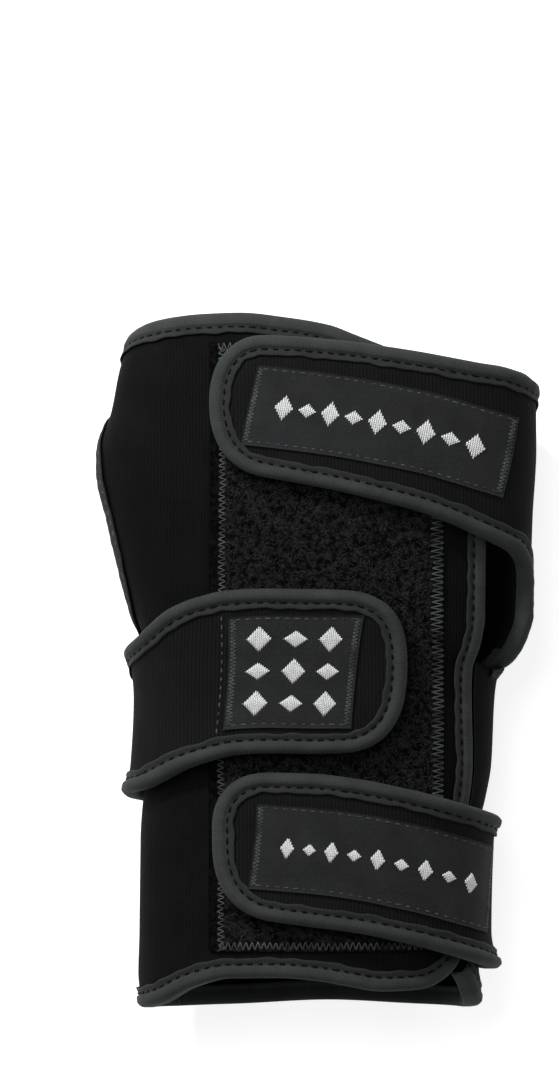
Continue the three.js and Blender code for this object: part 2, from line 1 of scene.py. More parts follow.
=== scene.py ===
# Bowling glove: a neoprene wrist support for a right hand, lying palm down in its worn shape.
# X runs from the thumb side to the little finger side, Y from the wrist to the fingers, Z up.
# Cutting patterns are in millimetres, and wrap() lays them round the hand in metres.
import math
import bpy
import numpy as np
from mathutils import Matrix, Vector


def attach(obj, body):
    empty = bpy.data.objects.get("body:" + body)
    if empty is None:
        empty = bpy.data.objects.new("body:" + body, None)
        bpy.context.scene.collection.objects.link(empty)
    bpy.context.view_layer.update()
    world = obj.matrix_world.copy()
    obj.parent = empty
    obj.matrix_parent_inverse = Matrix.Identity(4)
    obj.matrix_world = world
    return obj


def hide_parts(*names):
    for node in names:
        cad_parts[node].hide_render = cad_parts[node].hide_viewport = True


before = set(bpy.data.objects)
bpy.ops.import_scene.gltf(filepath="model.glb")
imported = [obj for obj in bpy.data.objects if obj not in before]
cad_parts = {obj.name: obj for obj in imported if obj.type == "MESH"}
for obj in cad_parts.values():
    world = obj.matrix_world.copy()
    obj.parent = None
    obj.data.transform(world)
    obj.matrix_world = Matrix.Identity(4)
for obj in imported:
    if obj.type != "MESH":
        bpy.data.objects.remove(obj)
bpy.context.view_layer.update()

seed = np.random.default_rng(7)


# Back panel: 3 mm neoprene with a fine ribbed jersey on both faces, cut in one piece that runs over the back of
# the hand and round the thumb side. The thumb hole is punched through it and the palm panel.
GLOVE_LENGTH = 174.0
HAND_BREADTH = 102.0
HAND_DEPTH = 43.0
PANEL = 3.0
# room between pieces that lie on each other, and between cut edges that are butted
GAP = 0.3
BUTT = 0.02
TAPE = 0.6
TAPE_ROOM = GAP + TAPE
MIDDLE_OF_GLOVE = (0.97766, -0.14936)
THUMB_SEAM_DROP = 15.0
LITTLE_SEAM_DROP = 8.0

# share of the hand's depth below and above its broadest line, how full the palm is at the little finger and at
# the thumb, how square the hand's section is, and how softly it rounds into the flat palm
BELOW, ABOVE = 0.47, 0.53
PALM_FULLNESS = (1.22, 0.94)
SQUARENESS = 2.35
PALM_ROUNDING = 3.0
PALM_RISE = 1.2
# along the hand, half breadth to the thumb, half breadth to the little finger, depth of the back
HAND = (
    (-0.5, 0.391, 0.373, 1.065), (-0.45, 0.401, 0.377, 1.05), (-0.39, 0.398, 0.361, 1.03),
    (-0.26, 0.397, 0.367, 1.0), (-0.2, 0.39, 0.392, 0.99), (-0.15, 0.374, 0.407, 0.98),
    (-0.055, 0.366, 0.415, 0.975), (-0.015, 0.371, 0.426, 0.98), (0.025, 0.386, 0.465, 0.99),
    (0.065, 0.411, 0.486, 1.0), (0.12, 0.438, 0.489, 1.01), (0.21, 0.475, 0.494, 1.01),
    (0.265, 0.495, 0.501, 1.0), (0.3, 0.494, 0.504, 0.985), (0.36, 0.466, 0.504, 0.96),
    (0.42, 0.445, 0.498, 0.93), (0.46, 0.42, 0.483, 0.9), (0.5, 0.375, 0.45, 0.86),
)
PALM_LIFT = ((-0.5, 1), (-0.46, 1), (-0.41, 0), (0.27, 0), (0.33, 1), (0.5, 1))
# across the panel from its bound edge to the thumb seam, finger end, wrist end
BACK_ENDS = (
    (0, 0.388, -0.456), (0.07, 0.415, -0.47), (0.167, 0.441, -0.473), (0.27, 0.467, -0.464),
    (0.33, 0.481, -0.458), (0.43, 0.4915, -0.4535), (0.544, 0.4985, -0.4545), (0.63, 0.497, -0.468),
    (0.72, 0.4915, -0.492), (0.8, 0.481, -0.499), (0.86, 0.468, -0.5), (1, 0.43, -0.5),
)
# along the hand, the bound edge's share of the way from the crown to the little finger side
BACK_SIDE = (
    (-0.5, 0.62), (-0.465, 0.69), (-0.42, 0.755), (-0.35, 0.765), (-0.2, 0.763), (-0.0575, 0.741),
    (0.0144, 0.717), (0.086, 0.704), (0.26, 0.7), (0.4, 0.675),
)


def mix(start, end, share):
    return start + (end - start) * share


def ease(start, end, value):
    t = np.clip((value - start) / (end - start), 0, 1)
    return t * t * (3 - 2 * t)


def bow(value, squareness):
    """Sine or cosine for a rounded rectangle, 2 giving a circle"""
    return np.sign(value) * np.abs(value) ** (2 / squareness)


def read(rows, place, column=1):
    """One column of a table, on a smooth curve through its rows that never overshoots them"""
    rows = sorted(rows)
    keys, values = np.array([row[0] for row in rows]), np.array([row[column] for row in rows], float)
    slope = np.diff(values) / np.diff(keys)
    bend = np.concatenate([slope[:1], np.zeros(len(slope) - 1), slope[-1:]])
    same = np.flatnonzero(slope[:-1] * slope[1:] > 0)
    bend[same + 1] = 2 * slope[same] * slope[same + 1] / (slope[same] + slope[same + 1])
    place = np.asarray(place, float)
    low = np.clip(np.searchsorted(keys, place) - 1, 0, len(slope) - 1)
    span = keys[low + 1] - keys[low]
    t = np.clip((place - keys[low]) / span, 0, 1)
    return ((2 * t**3 - 3 * t**2 + 1) * values[low] + (t**3 - 2 * t**2 + t) * bend[low] * span
            + (3 * t**2 - 2 * t**3) * values[low + 1] + (t**3 - t**2) * bend[low + 1] * span)


HAND_REACH = 92
HAND_STEP = 0.25
HAND_TURNS = 720


def hand_form():
    """Skin and outward direction of the hand at evenly spaced places along it and shares of its girth"""
    y = np.arange(-HAND_REACH, HAND_REACH + 0.1, HAND_STEP)
    along = y / GLOVE_LENGTH
    thumb, little = read(HAND, along) * HAND_BREADTH, read(HAND, along, 2) * HAND_BREADTH
    depth = read(HAND, along, 3) * HAND_DEPTH
    floor = PANEL + read(PALM_LIFT, along) * PALM_RISE
    turn = np.arange(HAND_TURNS) * 2 * np.pi / HAND_TURNS
    thumbward = np.maximum(-np.sin(turn), 0)
    half = np.where(thumbward > 0, thumb[:, None], little[:, None])
    rise = np.where(np.cos(turn) < 0, BELOW * mix(*PALM_FULLNESS, thumbward), ABOVE) * depth[:, None]
    height = PANEL + BELOW * depth[:, None] + rise * bow(np.cos(turn), SQUARENESS)
    share = np.clip(0.5 + (height - floor[:, None]) / (2 * PALM_ROUNDING), 0, 1)
    skin = np.stack([half * bow(np.sin(turn), SQUARENESS),
                     mix(floor[:, None], height, share) + PALM_ROUNDING * share * (1 - share)], axis=2)
    around = np.roll(skin, 1, axis=1) - np.roll(skin, -1, axis=1)
    outward = np.stack([around[..., 1], -around[..., 0]], axis=2)
    outward /= np.linalg.norm(outward, axis=2, keepdims=True)
    skin, outward = (np.concatenate([a, a[:, :1]], axis=1) for a in (skin, outward))
    arcs = np.cumsum(np.linalg.norm(np.diff(skin, axis=1), axis=2), axis=1)
    arcs = np.concatenate([np.zeros((len(y), 1)), arcs], axis=1)
    even = np.linspace(0, 1, HAND_TURNS + 1)
    table = np.empty((len(y), HAND_TURNS + 1, 4))
    for row in range(len(y)):
        for side in (0, 1):
            table[row, :, side] = np.interp(even * arcs[row, -1], arcs[row], skin[row, :, side])
            table[row, :, side + 2] = np.interp(even * arcs[row, -1], arcs[row], outward[row, :, side])
    girth = arcs[:, -1]
    return y, table, girth, arcs[:, HAND_TURNS // 4], girth - arcs[:, HAND_TURNS * 3 // 4]


HAND_Y, HAND_TABLE, GIRTHS, LITTLE_SIDES, THUMB_SIDES = hand_form()


def wrap(arc, y, height):
    """Point in metres of a place on the hand: arc from the crown, place along it, height above the skin"""
    arc, y, height = np.broadcast_arrays(arc, y, height)
    row = np.clip((y - HAND_Y[0]) / HAND_STEP, 0, len(HAND_Y) - 1.001)
    low_row = row.astype(int)
    turn = (arc / np.interp(y, HAND_Y, GIRTHS) % 1) * HAND_TURNS
    low_turn = np.minimum(turn.astype(int), HAND_TURNS - 1)
    down, over = (row - low_row)[..., None], (turn - low_turn)[..., None]
    here = mix(mix(HAND_TABLE[low_row, low_turn], HAND_TABLE[low_row + 1, low_turn], down),
               mix(HAND_TABLE[low_row, low_turn + 1], HAND_TABLE[low_row + 1, low_turn + 1], down), over)
    lift = here[..., 2:] / np.linalg.norm(here[..., 2:], axis=-1, keepdims=True) * height[..., None]
    x, z = np.moveaxis(here[..., :2] + lift, -1, 0)
    return np.stack([x - MIDDLE_OF_GLOVE[0], y - MIDDLE_OF_GLOVE[1], z], axis=-1) / 1000


def little_side(share, y):
    return share * np.interp(y, HAND_Y, LITTLE_SIDES)


def thumb_side(share, y):
    return -share * np.interp(y, HAND_Y, THUMB_SIDES)


def sewn_solid(name, points, faces, pattern, cloth):
    """A closed piece whose faces point outwards, with its cutting pattern as its UV map"""
    points = np.asarray(points, float).reshape(-1, 3)
    corners = points[np.array([face[:3] for face in faces])]
    if np.einsum("ij,ij->", corners[:, 0], np.cross(corners[:, 1], corners[:, 2])) < 0:
        faces = [face[::-1] for face in faces]
    mesh = bpy.data.meshes.new(name)
    mesh.from_pydata(points.tolist(), [], faces)
    corner = np.empty(len(mesh.loops), int)
    mesh.loops.foreach_get("vertex_index", corner)
    layer = mesh.uv_layers.new(name="pattern")
    layer.data.foreach_set("uv", np.asarray(pattern, float).reshape(-1, 2)[corner].ravel())
    mesh.materials.append(cloth)
    mesh.shade_smooth()
    piece = bpy.data.objects.new(name, mesh)
    bpy.context.collection.objects.link(piece)
    return piece


def sheet_faces(rows, columns, start=0):
    corner = start + np.arange(rows * columns).reshape(rows, columns)
    return np.stack([corner[:-1, :-1], corner[1:, :-1], corner[1:, 1:], corner[:-1, 1:]], axis=2).reshape(-1, 4)


def tube_faces(rings, sides, closed=False):
    corner = np.arange(rings * sides).reshape(rings, sides)
    here, after = (corner, np.roll(corner, -1, axis=0)) if closed else (corner[:-1], corner[1:])
    return np.stack([here, after, np.roll(after, -1, 1), np.roll(here, -1, 1)], axis=2).reshape(-1, 4)


def tube_ends(rings, sides):
    corner = np.arange(rings * sides).reshape(rings, sides)
    return [corner[0], corner[-1, ::-1]]


def cloth_slab(name, arc, y, underside, thickness, cloth):
    """A sheet of cloth with its thickness, from the pattern's arcs and places along the hand"""
    rows, columns = arc.shape
    points = np.stack([wrap(arc, y, underside), wrap(arc, y, underside + thickness)])
    corner = np.arange(rows * columns).reshape(rows, columns)
    rim = np.concatenate([corner[0, :-1], corner[:-1, -1], corner[-1, :0:-1], corner[:0:-1, 0]])
    walls = np.stack([rim, np.roll(rim, -1), np.roll(rim, -1) + rows * columns, rim + rows * columns], axis=1)
    faces = np.concatenate([sheet_faces(rows, columns), sheet_faces(rows, columns, rows * columns)[:, ::-1],
                            walls[:, ::-1]])
    pattern = np.broadcast_to(np.stack([arc, y], axis=2), (2, rows, columns, 2))
    return sewn_solid(name, points, faces.tolist(), pattern, cloth)


def linear(code):
    """Colour of a hex code, as the shaders take it"""
    parts = [int(code[i:i + 2], 16) / 255 for i in (1, 3, 5)]
    return [c / 12.92 if c <= 0.04045 else ((c + 0.055) / 1.055) ** 2.4 for c in parts] + [1]


def add_node(finish, kind, settings=(), **inputs):
    """A shader node with its settings, and with its inputs set or linked"""
    made = finish.node_tree.nodes.new(kind)
    for name, value in dict(settings).items():
        setattr(made, name, value)
    for name, value in inputs.items():
        socket = made.inputs[name.replace("_", " ")]
        if isinstance(value, bpy.types.NodeSocket):
            finish.node_tree.links.new(value, socket)
        else:
            socket.default_value = value
    return made


def new_finish(name, roughness, sheen=0.0):
    finish = bpy.data.materials.new(name)
    finish.use_nodes = True
    shader = finish.node_tree.nodes["Principled BSDF"]
    shader.inputs["Roughness"].default_value = roughness
    shader.inputs["Sheen Weight"].default_value = sheen
    shader.inputs["Sheen Roughness"].default_value = 0.45
    shader.inputs["Specular IOR Level"].default_value = 0.035
    return finish, shader


def dye(finish, shader, share, low, high):
    """Colour of a finish, from low to high as the share goes from 0 to 1"""
    ramp = add_node(finish, "ShaderNodeValToRGB", Fac=share)
    ramp.color_ramp.elements[0].color = linear(low)
    ramp.color_ramp.elements[1].color = linear(high)
    finish.node_tree.links.new(ramp.outputs["Color"], shader.inputs["Base Color"])


def combine(finish, operation, first, second):
    made = add_node(finish, "ShaderNodeMath", {"operation": operation})
    for socket, value in zip(made.inputs, (first, second)):
        if isinstance(value, bpy.types.NodeSocket):
            finish.node_tree.links.new(value, socket)
        else:
            socket.default_value = value
    return made.outputs[0]


def layered(finish, *layers):
    """Textures added up, each multiplied by its weight"""
    weighted = [combine(finish, "MULTIPLY", texture, weight) for texture, weight in layers]
    total = weighted[0]
    for texture in weighted[1:]:
        total = combine(finish, "ADD", total, texture)
    return total


def cutting_pattern(finish):
    return add_node(finish, "ShaderNodeUVMap", {"uv_map": "pattern"}).outputs["UV"]


def stripes(finish, direction, pitch, distortion=0.0):
    """Ribs or courses of a cloth, a pitch in millimetres apart on its cutting pattern"""
    wave = add_node(finish, "ShaderNodeTexWave", {"bands_direction": direction}, Vector=cutting_pattern(finish),
                    Scale=math.pi / (10 * pitch), Distortion=distortion, Detail=1.0, Detail_Scale=2.0)
    return wave.outputs["Fac"]


def mottle(finish, size):
    """Uneven dye and fuzz, of a size in millimetres"""
    place = add_node(finish, "ShaderNodeTexCoord").outputs["Object"]
    return add_node(finish, "ShaderNodeTexNoise", Vector=place, Scale=1000 / size, Detail=4.0).outputs["Fac"]


def raise_surface(finish, shader, height, depth):
    """Fine relief, of a depth in millimetres"""
    bump = add_node(finish, "ShaderNodeBump", Height=height, Strength=1.0, Distance=depth / 1000)
    finish.node_tree.links.new(bump.outputs["Normal"], shader.inputs["Normal"])


def knitted(name, low, high, rib):
    """Jersey face of neoprene: fine ribs along the hand, crossed by the courses of the knit"""
    finish, shader = new_finish(name, 0.82)
    worn = combine(finish, "ADD", mottle(finish, 5), 0.2)
    ribs = combine(finish, "MULTIPLY", stripes(finish, "X", rib, 1.6), worn)
    courses = combine(finish, "MULTIPLY", stripes(finish, "Y", 0.62, 0.8), 0.5)
    loops = combine(finish, "MULTIPLY", ribs, combine(finish, "ADD", courses, 0.5))
    fuzz = layered(finish, (loops, 0.55), (mottle(finish, 9), 0.35), (mottle(finish, 0.35), 0.3))
    dye(finish, shader, fuzz, low, high)
    raise_surface(finish, shader, layered(finish, (loops, 1.0), (mottle(finish, 0.3), 0.5)), 0.12)
    return finish


jersey = knitted("jersey", "#020202", "#131314", 0.8)
CORNER = 9.0
DENTS = 0.09
# ridge beside the loop panel: its arc, half width and height, and where it begins and ends along the hand
RIDGE_ARC, RIDGE_WIDTH, RIDGE_HEIGHT = -27.2, 1.1, 0.6
RIDGE_BEGINS, RIDGE_ENDS = (12, 20), (52, 60)
# thumb hole: its middle along the hand and below the thumb side, its half length and half breadth
HOLE_ALONG = 0.186 * GLOVE_LENGTH
HOLE_DROP, HOLE_HALF_LENGTH, HOLE_HALF_BREADTH = 12.5, 26.5, 15
HOLE_STEPS, HOLE_RINGS = 96, 10
PUNCH_REACH = 3.0


def back_fold(y):
    return little_side(read(BACK_SIDE, y / GLOVE_LENGTH), y)


def thumb_seam(y):
    return thumb_side(1, y) - THUMB_SEAM_DROP


def little_seam(y):
    return little_side(1, y) + LITTLE_SEAM_DROP


def endwise(share):
    """Shares that lie closer together towards both ends"""
    return mix(share, (1 - np.cos(np.pi * share)) / 2, 0.75)


def round_corner(across, along, width, length):
    """Shares across and along a panel whose two bound corners are rounded"""
    in_x = (CORNER - across * width) / CORNER
    in_low, in_high = (CORNER - along * length) / CORNER, (CORNER - (1 - along) * length) / CORNER
    in_y = np.maximum(in_low, in_high)
    inside = (in_x > 0) & (in_y > 0)
    pull = np.where(inside, np.maximum(in_x, in_y) / np.maximum(np.hypot(in_x, in_y), 1e-9), 1)
    new_along = CORNER * (1 - in_y * pull) / length
    new_along = np.where(in_low > in_high, new_along, 1 - new_along)
    return np.where(inside, CORNER * (1 - in_x * pull) / width, across), np.where(inside, new_along, along)


def between_tapes(ends, across):
    """Wrist end and finger end of a panel, less the room for the tape folded round each"""
    return read(ends, across, 2) * GLOVE_LENGTH + TAPE_ROOM, read(ends, across) * GLOVE_LENGTH - TAPE_ROOM


def back_pattern(across, along):
    across, along = np.broadcast_arrays(across, along)
    u, v = round_corner(endwise(across), along, back_fold(0.0) - thumb_seam(0.0), GLOVE_LENGTH)
    y = mix(*between_tapes(BACK_ENDS, u), v)
    return mix(back_fold(y) - TAPE_ROOM, thumb_seam(y) + BUTT, u), y


def wrinkles(arc, y):
    """Soft dents and rises of worn neoprene, and the ridge where the panel bends beside the loop panel"""
    dents = np.sin(0.16 * arc + 0.05 * y) * np.sin(0.09 * y + 1.3) + 0.6 * np.sin(0.31 * arc - 0.12 * y + 2)
    ridge = np.exp(-((arc - RIDGE_ARC) / RIDGE_WIDTH) ** 2) * ease(*RIDGE_BEGINS, y) * (1 - ease(*RIDGE_ENDS, y))
    return DENTS * dents - 0.07 + RIDGE_HEIGHT * ridge


def thumb_hole_place(turn):
    """Arc and place of the hole's rim, squarer on its upper side"""
    squareness = np.where(np.cos(turn) > 0, 2.9, 2.3)
    y = HOLE_ALONG + HOLE_HALF_LENGTH * bow(np.sin(turn), squareness)
    return thumb_side(1, y) - HOLE_DROP + HOLE_HALF_BREADTH * bow(np.cos(turn), squareness), y


def full_turn(steps):
    return np.arange(steps) * 2 * np.pi / steps


def punch_thumb_hole(panel):
    """Cuts the hole with a punch of its shape, wrapped round the thumb side"""
    rim_arc, rim_y = thumb_hole_place(full_turn(HOLE_STEPS))
    ring = np.linspace(0.1, 1, HOLE_RINGS)[:, None]
    y = mix(HOLE_ALONG, rim_y, ring)
    arc = thumb_side(1, y) - HOLE_DROP + (rim_arc - thumb_side(1, rim_y) + HOLE_DROP) * ring
    layers = np.concatenate([wrap(arc, y, -PUNCH_REACH), wrap(arc[::-1], y[::-1], PANEL + PUNCH_REACH)])
    faces = tube_faces(2 * HOLE_RINGS, HOLE_STEPS).tolist()
    faces += [end.tolist() for end in tube_ends(2 * HOLE_RINGS, HOLE_STEPS)]
    punch = sewn_solid("punch", layers, faces, np.zeros((2 * HOLE_RINGS * HOLE_STEPS, 2)), jersey)
    cut = panel.modifiers.new("thumb hole", "BOOLEAN")
    cut.operation, cut.solver, cut.object = "DIFFERENCE", "EXACT", punch
    bpy.ops.object.select_all(action="DESELECT")
    bpy.context.view_layer.objects.active = panel
    panel.select_set(True)
    bpy.ops.object.modifier_apply(modifier="thumb hole")
    bpy.data.objects.remove(punch)


def shares(columns, rows):
    """Shares across and along a cutting pattern, at every corner of its mesh"""
    return np.meshgrid(np.linspace(0, 1, columns), np.linspace(0, 1, rows))


def place(piece, slot, *nodes):
    """Puts a piece on the glove, instead of the nodes that it replaces; the slot argument is not used"""
    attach(piece, "root")
    if nodes:
        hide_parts(*nodes)


back_arc, back_y = back_pattern(*shares(120, 135))
back_panel = cloth_slab("neoprene_back", back_arc, back_y, 0.0, PANEL + wrinkles(back_arc, back_y), jersey)
punch_thumb_hole(back_panel)
place(back_panel, "neoprene", "back_panel")


# Palm panel: the same neoprene under the hand, butted against the back panel on the thumb side and against the
# gusset on the little finger side, and joined to both with flat seams.
# across the panel from the thumb seam to the little seam, finger end, wrist end
PALM_ENDS = ((0, 0.43, -0.5), (0.2, 0.402, -0.498), (0.5, 0.382, -0.492), (0.8, 0.377, -0.498), (1, 0.375, -0.5))


def palm_pattern(across, along):
    u = endwise(across)
    y = mix(*between_tapes(PALM_ENDS, u), along)
    girth = np.interp(y, HAND_Y, GIRTHS)
    return mix(thumb_seam(y) - BUTT, little_seam(y) + BUTT - girth, u), y


palm_arc, palm_y = palm_pattern(*shares(90, 110))
palm_panel = cloth_slab("neoprene_palm", palm_arc, palm_y, 0.0, PANEL, jersey)
punch_thumb_hole(palm_panel)
place(palm_panel, "neoprene", "palm_panel")


# Side gusset: a narrow piece of the same neoprene that fills the little finger side below the knuckle strap.
# It is sewn to the palm panel, and its other long edge meets the back panel's tape.
GUSSET_REACH = 0.7
# across the gusset from the little seam to the back panel, finger end, wrist end
GUSSET_ENDS = ((0, -0.0185, -0.5), (0.35, -0.0185, -0.496), (0.6, -0.0185, -0.484), (0.8, -0.0175, -0.466),
               (1, -0.006, -0.45))


def gusset_pattern(across, along):
    wrist_end = read(GUSSET_ENDS, across, 2) * GLOVE_LENGTH + TAPE_ROOM
    y = mix(wrist_end, read(GUSSET_ENDS, across) * GLOVE_LENGTH + GUSSET_REACH, along)
    return mix(little_seam(y) - BUTT, back_fold(y) + 2 * GAP, across), y


gusset_arc, gusset_y = gusset_pattern(*shares(30, 80))
gusset = cloth_slab("neoprene_gusset", gusset_arc, gusset_y, 0.0, PANEL, jersey)
place(gusset, "neoprene", "side_gusset")


# Edge bindings: grey knitted polyester tape, folded over every open edge of the panels, with a rolled fold
# outside, a groove that a lockstitch pulls in, and a thin lip inside the groove.
TAPE_WIDTH = 5.0
GROOVE = -2.6
STITCH_LENGTH = 2.6
STITCH_SUNK = 0.4
TAPE_STITCH = 0.27
PATH_STEP = 0.9
LIP_WANDER, CROWN_WANDER = 0.3, 0.12


def edge_finish():
    finish, shader = new_finish("edge_tape", 0.72, 0.03)
    weave = layered(finish, (stripes(finish, "Y", 0.55, 0.5), 0.6), (stripes(finish, "X", 0.42, 0.3), 0.4))
    fuzz = layered(finish, (weave, 0.3), (mottle(finish, 6), 0.35), (mottle(finish, 0.4), 0.25))
    # Painted shade: the tape's inner lip and groove are dyed darker, standing in for the shade they lie in below
    # the rolled fold
    across = add_node(finish, "ShaderNodeSeparateXYZ", Vector=cutting_pattern(finish)).outputs["X"]
    painted_lip_shade = add_node(finish, "ShaderNodeMapRange", {"interpolation_type": "SMOOTHSTEP"}, Value=across,
                       From_Min=1.8, From_Max=2.8, To_Min=0.65, To_Max=1.0).outputs["Result"]
    dye(finish, shader, combine(finish, "MULTIPLY", fuzz, painted_lip_shade), "#0c0d0d", "#434646")
    raise_surface(finish, shader, weave, 0.06)
    return finish


def thread_finish(name, low, high, wear=0.0):
    """Twisted thread, some lengths of it dulled by wear and others left bright"""
    finish, shader = new_finish(name, 0.5, 0.03)
    strands = layered(finish, (stripes(finish, "DIAGONAL", 0.3), 1.0), (mottle(finish, 1.2), 0.6))
    bright = combine(finish, "MULTIPLY", combine(finish, "SUBTRACT", mottle(finish, 4), 0.5), 5 * wear)
    dulled = combine(finish, "MULTIPLY", combine(finish, "ADD", bright, 1.0), 0.65)
    dye(finish, shader, combine(finish, "MULTIPLY", dulled, strands), low, high)
    raise_surface(finish, shader, strands, 0.05)
    return finish


edge_tape = edge_finish()
grey_thread = thread_finish("grey_thread", "#161717", "#525656", wear=0.9)
dark_thread = thread_finish("dark_thread", "#020202", "#0d0d0e")


def tape_section(thickness, bead):
    """Section of the folded tape: distance outside the cloth's edge, height above the cloth's underside"""
    top = thickness + TAPE_ROOM
    inner = TAPE_ROOM - TAPE_WIDTH
    upper_lip = ((inner, top - 0.55), (inner - 0.05, top - 0.25), (inner + 0.2, top - 0.08),
                 (inner + 0.55, top - 0.12))
    upper_groove = ((GROOVE - 0.4, top - 0.32), (GROOVE, top - 0.55), (GROOVE + 0.35, top - 0.4),
                    (GROOVE + 0.7, top))
    rolled_fold = ((-1.6, top + 0.75 * bead), (-0.9, top + bead), (-0.2, top + 0.75 * bead), (0.4, top - 0.3),
                   (0.8, top - 0.9), (TAPE_ROOM, top - 1.5), (TAPE_ROOM, thickness / 2), (TAPE_ROOM, 0.4),
                   (0.8, -0.2), (0.4, -0.65), (-0.3, -TAPE_ROOM), (-1.6, -TAPE_ROOM))
    under_groove = ((GROOVE + 0.4, -0.75), (GROOVE, -0.62), (GROOVE - 0.5, -0.75))
    under_lip = ((inner + 0.3, -TAPE_ROOM), (inner, -0.7), (inner, -GAP))
    inside = ((-1.5, -GAP), (GAP, -GAP), (GAP, thickness / 2), (GAP, thickness + GAP),
              (-1.5, thickness + GAP), (inner + 0.6, thickness + GAP))
    return np.array(upper_lip + upper_groove + rolled_fold + under_groove + under_lip + inside)


def length_along(path):
    """Length of a path up to each of its places"""
    return np.cumsum(np.linalg.norm(np.diff(path, axis=-2, prepend=path[..., :1, :]), axis=-1), axis=-1)


def even_path(edge, step, closed=False):
    """The same path with places an even step apart"""
    edge = np.asarray(edge)
    if closed:
        edge = np.concatenate([edge, edge[:1]])
    length = length_along(edge)
    keep = np.concatenate([[True], np.diff(length) > 1e-6])
    count = max(int(length[-1] / step), 2)
    at = np.linspace(0, length[-1], count + 1)
    path = np.stack([np.interp(at, length[keep], edge[keep, side]) for side in (0, 1)], axis=1)
    return path[:-1] if closed else path


def beside(path, distance, turn, closed=False):
    """A path at a distance outside an edge, turn telling on which hand the cloth lies"""
    if closed:
        way = np.roll(path, -2, axis=0) - np.roll(path, 2, axis=0)
    else:
        way = np.gradient(path, axis=0)
    way /= np.linalg.norm(way, axis=1, keepdims=True)
    return path + turn * distance * np.stack([way[:, 1], -way[:, 0]], axis=1)


def unevenness(stations, sizes):
    """Gentle waves along a tape that close on themselves, of sizes counted in stations"""
    share = np.arange(stations) / stations
    waves = [np.sin(2 * np.pi * (round(stations / size) * share + seed.uniform(0, 1))) for size in sizes]
    return sum(waves) / len(sizes)


def fold_tape(name, path, base, thickness, turn, bead=0.18, closed=False):
    """Tape folded round an edge, with its section carried along it, and its lip and crown a little wavy"""
    section = tape_section(thickness, bead)
    outside, height = section.T
    outward = beside(path, 1.0, turn, closed) - path
    stations, turns = len(path), len(section)
    lip = np.where((outside < GROOVE) & (height > thickness), LIP_WANDER, 0.0)
    reach = outside + unevenness(stations, (17, 9, 6))[:, None] * lip
    arc, y = (path[:, None] + reach[..., None] * outward[:, None]).transpose(2, 0, 1)
    crown = np.where((outside > GROOVE) & (outside < 0.2) & (height > thickness), CROWN_WANDER, 0.0)
    points = wrap(arc, y, base(arc, y) + height + unevenness(stations, (11, 5, 3.1))[:, None] * crown)
    faces = tube_faces(stations, turns, closed).tolist()
    if not closed:
        faces += [end.tolist() for end in tube_ends(stations, turns)]
    pattern = np.stack(np.broadcast_arrays(length_along(section), length_along(path)[:, None]), axis=2)
    return sewn_solid(name, points, faces, pattern, edge_tape)


def sew_threads(name, lines, radius, thread, sides=6):
    """Threads lying on the glove, each a line of arc, place along the hand and height above the skin, and
    thinner where it goes down into the cloth"""
    lines = np.asarray(lines, float)
    count, steps, _ = lines.shape
    way = np.gradient(lines, axis=1)
    flat = np.linalg.norm(way[..., :2], axis=2, keepdims=True) + 1e-9
    over = np.stack([way[..., 1], -way[..., 0]], axis=2) / flat
    turn = full_turn(sides)
    girth = radius * np.concatenate([[0.55], np.ones(steps - 2), [0.55]])[None, :, None]
    arc = lines[..., 0, None] + girth * over[..., 0, None] * np.cos(turn)
    y = lines[..., 1, None] + girth * over[..., 1, None] * np.cos(turn)
    points = wrap(arc, y, lines[..., 2, None] + girth * np.sin(turn))
    starts = np.arange(count)[:, None, None] * steps * sides
    faces = (starts + tube_faces(steps, sides)).reshape(-1, 4).tolist()
    for end in tube_ends(steps, sides):
        faces += (starts[:, 0] + end).tolist()
    pattern = np.stack(np.broadcast_arrays(turn * radius, length_along(lines)[..., None]), axis=3)
    return sewn_solid(name, points, faces, pattern, thread)


def running_stitches(path, height, dip=0.3, pitch=STITCH_LENGTH, closed=False):
    """Lockstitches along a path, each rising from the cloth and going down again"""
    path = even_path(path, pitch, closed)
    starts, ends = (path, np.roll(path, -1, axis=0)) if closed else (path[:-1], path[1:])
    share = 0.5 + np.array([-0.34, -0.23, 0, 0.23, 0.34]) * seed.uniform(0.7, 1.15, (len(starts), 1))
    line = starts[:, None] + (ends - starts)[:, None] * share[:, :, None]
    rise = height(line[..., 0], line[..., 1]) - dip * np.array([1, 0.25, 0, 0.25, 1])
    return np.concatenate([line, rise[..., None]], axis=2)


def zigzag(path, width, pitch, height):
    """Zigzag stitches from side to side of a path"""
    path = even_path(path, pitch / 2)
    sides = np.where(np.arange(len(path)) % 2, 0.5, -0.5)[:, None] * width
    sides = sides * seed.uniform(0.8, 1.1, (len(path), 1))
    way = np.gradient(path, axis=0)
    way /= np.linalg.norm(way, axis=1, keepdims=True)
    points = path + sides * np.stack([way[:, 1], -way[:, 0]], axis=1)
    share = np.array([0.0, 0.12, 0.5, 0.88, 1.0])
    line = points[:-1, None] + (points[1:] - points[:-1])[:, None] * share[None, :, None]
    rise = height(line[..., 0], line[..., 1]) - 0.25 * np.array([1, 0.1, 0, 0.1, 1])
    return np.concatenate([line, rise[..., None]], axis=2)


def on_skin(arc, y):
    return np.zeros_like(arc)


def tape_groove(thickness, base):
    """Height of the stitches in a tape's groove"""
    return lambda arc, y: base(arc, y) + thickness + TAPE_ROOM - STITCH_SUNK


def edge_of(*sides, closed=False):
    """Path round the bound edge of a pattern, from the arcs and places of its sides"""
    return even_path(np.concatenate([np.stack(side, axis=1) for side in sides]), PATH_STEP, closed)


fine = np.linspace(0, 1, 240)
back_edge = edge_of(back_pattern(1 - fine, 1.0), back_pattern(0.0, 1 - fine), back_pattern(fine, 0.0))
palm_edges = [edge_of(palm_pattern(fine, along)) for along in (1.0, 0.0)]
gusset_edge = edge_of(gusset_pattern(fine, 0.0))
hole_edge = edge_of(thumb_hole_place(full_turn(400)), closed=True)

